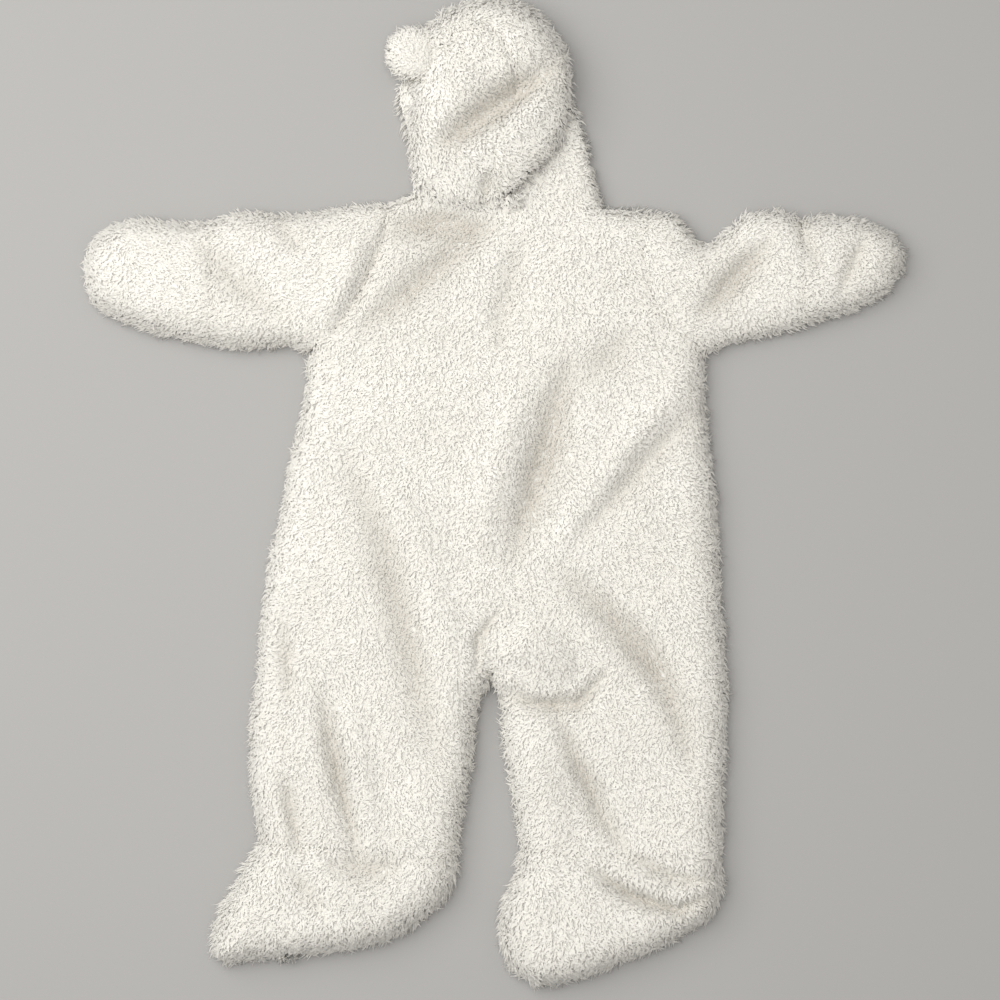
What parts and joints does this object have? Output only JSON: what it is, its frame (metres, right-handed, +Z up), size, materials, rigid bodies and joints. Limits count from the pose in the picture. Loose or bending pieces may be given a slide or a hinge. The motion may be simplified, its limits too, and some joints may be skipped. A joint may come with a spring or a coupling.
{
  "type": "hooded footed baby pramsuit",
  "caption": "Hooded long-pile fleece pramsuit for a newborn, with mitten cuffs, closed feet and round ears, laid face down with its limbs spread.",
  "frame": {"origin": "middle of the laid-out suit's box, on the surface that it lies on", "axes": "+Y from the feet to the hood, +X to the wearer's right with the back up, +Z up from the surface"},
  "size_m": [0.59, 0.707, 0.043],
  "materials": {
    "teddy_fleece": "long curly ivory pile, matt, soft sheen at grazing angles",
    "zip_tape": "woven polyester tape with a nylon coil, matt",
    "zip_nickel": "nickel plate, satin"
  },
  "bodies": {
    "suit": {"back_panel": "teddy_fleece", "front_left": "teddy_fleece", "front_right": "teddy_fleece", "sleeve_left": "teddy_fleece", "mitt_left": "teddy_fleece", "sleeve_right": "teddy_fleece", "mitt_right": "teddy_fleece", "foot_left": "teddy_fleece", "foot_right": "teddy_fleece", "hood_side_left": "teddy_fleece", "hood_middle": "teddy_fleece", "hood_side_right": "teddy_fleece", "ear_left": "teddy_fleece", "ear_right": "teddy_fleece", "zip_tape": "zip_tape", "zip_slider": "zip_nickel"},
    "pull_tab": {"zip_pull": "zip_nickel"}
  },
  "joints": [
    {"name": "pull_tab_hinge", "type": "hinge", "parent": "suit", "child": "pull_tab", "pos_m": [0.003, 0.186, 0.001], "axis": [1, 0, 0], "range_deg": [0, 150]}
  ]
}
